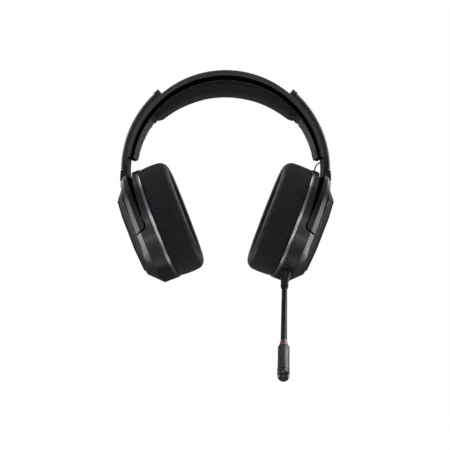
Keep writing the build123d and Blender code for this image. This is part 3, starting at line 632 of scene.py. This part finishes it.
def trim(side):
    name = "left" if side > 0 else "right"
    stations, length, _, _ = outline_stations(0.65)
    profile = ((0.45, 25.22), (0.08, 25.5), (0.0, 26.2), (0.0, 27.2), (0.08, 27.9), (0.45, 28.18),
               (2.98, 28.18), (2.98, 25.22))

    def section(station, index):
        (y, v), (ny, nv), _ = station
        notched = v > NOTCH_FROM_V and index % 2 == 0
        row = []
        for depth, height in profile:
            depth += NOTCH_DEPTH if notched and depth < 1 else 0.0
            row.append((y - ny * depth, v - nv * depth, height))
        return row

    piece = ring_piece(f"trim_ring_finish_{name}", "silver_trim", f"cup_{name}", side, stations, length,
                       section, [MATERIALS["silver_trim"]], lambda j: 0)
    piece.data.set_sharp_from_angle(angle=radians(38))
    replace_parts(piece, f"trim_ring_{name}")


# ---------------------------------------------------------------- head cushion
def head_cushion():
    """A crowned pad along the band, thicker in the middle, with full rounded ends."""
    stations, points = 97, 56
    taper = radians(4.6)
    verts, run, rows = [], [], []
    for i in range(stations):
        turn = CUSHION_END * (2 * i / (stations - 1) - 1)
        from_end = CUSHION_END - abs(turn)
        closing = sqrt(max(0.0, 1 - (1 - min(1.0, from_end / taper)) ** 2))
        closing = max(closing, 0.03)
        lower = CUSHION_UNDER_R + LINER_Z
        under = -lower * cos(turn) + sqrt((lower * cos(turn)) ** 2 - lower**2 + CUSHION_UNDER_R**2)
        swell = 0.6 * sin(min(1.0, abs(turn) / CUSHION_END) * pi / 2) ** 3
        thickness = (CUSHION_TOP_R - under + swell) * closing
        half = CUSHION_HALF_DEPTH * (0.78 + 0.22 * closing)
        row = []
        for j in range(points):
            phase = 2 * pi * j / points
            c, s = cos(phase), sin(phase)
            across = half * (abs(c) ** 0.34) * (1 if c >= 0 else -1)
            share = 0.5 - 0.5 * (abs(s) ** 0.75) * (1 if s >= 0 else -1)
            crown = 0.5 * max(0.0, share - 0.5) * 2 * (1 - (across / CUSHION_HALF_DEPTH) ** 2)
            lump = noise.noise(Vector((turn * 5.0, across * 0.06, share * 1.5))) * 0.25 * closing * share
            past_edge = min(1.0, max(0.0, (abs(across) - LIP_FROM) / LIP_WITHIN))
            lip = CUSHION_LIP * closing * past_edge * max(0.0, 1 - 2 * share)
            lift = CUSHION_REAR_LIFT * share * max(0.0, across / half)
            radius = CUSHION_TOP_R + lip + lift - thickness * share - (crown + lump) * closing * 0.6
            row.append(Vector((radius * sin(turn), across, LINER_Z + radius * cos(turn))))
        rows.append(row)
        verts += row
        run.append(turn * 76.0)
    girth = [0.0]
    centre = rows[stations // 2]
    for j in range(points):
        girth.append(girth[-1] + (centre[(j + 1) % points] - centre[j]).length)
    faces, uvs = [], []
    for i in range(stations - 1):
        for j in range(points):
            k = (j + 1) % points
            faces.append((i * points + j, i * points + k, (i + 1) * points + k, (i + 1) * points + j))
            uvs.append(((run[i], girth[j]), (run[i], girth[j + 1]),
                        (run[i + 1], girth[j + 1]), (run[i + 1], girth[j])))
    for i in (0, stations - 1):
        faces.append(tuple(i * points + j for j in range(points)))
        uvs.append([(run[i], girth[j]) for j in range(points)])
    piece = new_piece("head_cushion_soft", verts, faces, "mesh_fabric", "headband", uvs=uvs)
    facing_out(piece)
    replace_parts(piece, "head_cushion")


# ---------------------------------------------------------------- microphone
def tube(name, slot, points, radius, steps=24):
    """A smooth round tube along points in millimetres, not yet riding on a body."""
    verts = []
    side = None
    for i, point in enumerate(points):
        ahead = (points[min(i + 1, len(points) - 1)] - points[max(i - 1, 0)]).normalized()
        side = (side - ahead * side.dot(ahead)).normalized() if side else ahead.orthogonal().normalized()
        other = ahead.cross(side)
        for step in range(steps):
            turn = 2 * pi * step / steps
            verts.append(point + (side * cos(turn) + other * sin(turn)) * radius)
    piece = new_piece(name, verts, tube_faces(len(points), steps), slot, None)
    facing_out(piece)
    piece.data.set_sharp_from_angle(angle=radians(50))
    return piece


def boom_point(along):
    return BOOM_START + BOOM_DIR * along


def boom_run(first, last):
    """Points along the boom, from one distance to another."""
    steps = ceil((last - first) / BOOM_SPACING)
    return [boom_point(first + (last - first) * i / steps) for i in range(steps + 1)]


def microphone():
    meeting = (BEND_1 + BEND_2) / 2
    reach = 12.0
    near = tube("gooseneck_near", "gooseneck_rubber", boom_run(4.6, meeting), NECK_R)
    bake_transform(near, "mic_plug", "mic_boom", start=boom_point(BEND_1 - reach) * MM,
             end=boom_point(BEND_1 + reach) * MM)
    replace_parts(near, "gooseneck_1")
    far = tube("gooseneck_far", "gooseneck_rubber", boom_run(meeting, CAPSULE_AT + 0.4), NECK_R)
    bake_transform(far, "mic_boom", "mic_capsule", start=boom_point(BEND_2 - reach) * MM,
             end=boom_point(BEND_2 + reach) * MM)
    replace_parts(far, "gooseneck_2", "gooseneck_3")

    body = "mic_capsule"
    collar = lathe("capsule_collar_finish", "silver_trim", body,
                   [(CAPSULE_AT, 2.32), (CAPSULE_AT + 0.2, 2.55), (CAPSULE_AT + 2.8, 2.75),
                    (CAPSULE_AT + 6.6, 3.35), (RING_AT - 0.3, 3.65), (RING_AT - 0.05, 3.6)])
    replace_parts(collar, "capsule_collar")
    ring = lathe("capsule_ring_finish", "red_ring", body,
                 [(RING_AT - 0.1, 3.5), (RING_AT + 0.05, 3.98), (RING_AT + 0.2, 4.1),
                  (RING_AT + 0.7, 4.1), (RING_AT + 0.88, 3.98)])
    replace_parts(ring, "capsule_ring")
    cap = [(BARREL_END - 0.1, CAPSULE_R - 0.3), (BARREL_END + 0.1, CAPSULE_R - 0.1),
           (BARREL_END + 0.35, CAPSULE_R)]
    centre = BOOM_LENGTH - CAPSULE_R
    for turn in range(0, 90, 6):
        cap.append((centre + CAPSULE_R * sin(radians(turn)), CAPSULE_R * cos(radians(turn))))
    cap.append((BOOM_LENGTH - 0.005, 0.12))
    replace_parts(lathe("capsule_end_cap_finish", "gloss_black", body, cap), "capsule_end_cap")


# ---------------------------------------------------------------- link wire
WIRE_R = 0.6


def link_wire():
    """The short wire from the left arm to the left cup, along one cubic curve."""
    route = [Vector(p) for p in ((87.6, 4.0, -60.6), (84.0, 4.0, -60.9),
                                 (82.2, 4.0, -64.6), (81.9, 4.0, -68.9))]
    points = []
    steps = 40
    for i in range(steps + 1):
        t = i / steps
        a, b, c, d = (1 - t) ** 3, 3 * t * (1 - t) ** 2, 3 * t * t * (1 - t), t**3
        points.append(route[0] * a + route[1] * b + route[2] * c + route[3] * d)
    wire = tube("link_wire_finish", "wire_jacket", points, WIRE_R, 16)
    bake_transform(wire, "slider_left", "cup_left", start=Vector((83.0, 4.0, -61.5)) * MM,
             end=Vector((82.0, 4.0, -68.5)) * MM)
    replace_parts(wire, "link_wire")


# ---------------------------------------------------------------- which faces have which look, and where shade and light are painted
RECESS_HALF_DEPTH = 18.4    # only faces nearer than this to the band's middle plane can be in its recess
GAP_FROM, GAP_TOP_V = 28.6, 47.0    # the gap's faces are further out than the one and lower than the other
STRICTER_FROM = 39.8        # past this a face has to be deeper by as much as it is further out


def inner_face(face):
    """Whether a face of the headband looks in towards the head."""
    from_centre = Vector((face.center.x, 0, face.center.z - LINER_Z * MM))
    return abs(face.normal.y) < 0.5 and from_centre.dot(face.normal) < 0


def recessed_band(face):
    """Whether a face of the headband is within its stepped-back edge, and doesn't look outward: such faces
    are painted near-black for the shade in the recess.
    """
    from_centre = Vector((face.center.x, 0, face.center.z - ARC_Z * MM))
    # The bound grows with the face's distance from the origin, not from the arc's centre.
    outward = from_centre.dot(face.normal) > 0.5 * face.center.length
    return abs(face.center.y) < RECESS_HALF_DEPTH * MM and not outward


def outward_facet(side):
    """A test for the faces of a cup that look nearly straight outward."""
    return lambda face: face.normal.dot(Vector((OUT.x * side, 0, OUT.z))) > 0.78


def in_the_gap(side):
    """A test for the faces that lie below the cup's own outline, in the gap round the fork; they are painted
    near-black for the shade in the gap.
    """
    edge = [(Vector(spot), Vector(normal)) for spot, normal, _ in outline_stations(4.0)[0]]

    def test(face):
        place = Vector((face.center.x * side, face.center.y, face.center.z)) / MM - CUP_ORIGIN
        normal = Vector((face.normal.x * side, face.normal.y, face.normal.z))
        spot = Vector((place.y, place.dot(UP)))
        height = place.dot(OUT)
        depth = min((rim - spot).dot(away) for rim, away in edge) - max(0.0, height - STRICTER_FROM)
        return depth > 0.7 and height > GAP_FROM and spot.y < GAP_TOP_V and normal.dot(OUT) < 0.4

    return test


# ---------------------------------------------------------------- the whole object
set_camera()
set_world()
lay_floor()
set_lights()
for node, thing in NODES.items():
    for holder in thing.material_slots:
        holder.material = MATERIALS[NODE_SLOT[node]]

# The headband's recess is painted near-black for the shade that falls in it.
softened("headband_outer_shell", 0.5, [(PAINTED_SHADE_BLACK, recessed_band)])
softened("mic_collar", 0.35)
# The inner shell is painted near-black for shade on its front and rear faces, and lighter grey for painted
# light on its inner face.
softened("headband_inner_shell", 0.3, [(PAINTED_SHADE_BLACK, lambda face: True), (PAINTED_LIGHT_INNER_FACE, inner_face)])
for side, end in ((1, "left"), (-1, "right")):
    # The faces in the gap round each fork are painted near-black for the shade in the gap.
    gap = (PAINTED_SHADE_BLACK, in_the_gap(side))
    softened(f"slider_fork_{end}", 0.45, [gap])
    softened(f"slider_end_cap_{end}", 0.5)
    softened(f"earcup_housing_{end}", 0.35, [gap])
    # The cover's outward facet gets the hatched copy whose darker colour is painted shade.
    softened(f"earcup_cover_{end}", 0.4, [(COVER_HATCH_AND_SHADE, outward_facet(side)), gap])
    softened(f"cover_plate_{end}", 0.25)
for side in (-1, 1):
    ear_pad(side)
    trim(side)
head_cushion()
microphone()
link_wire()
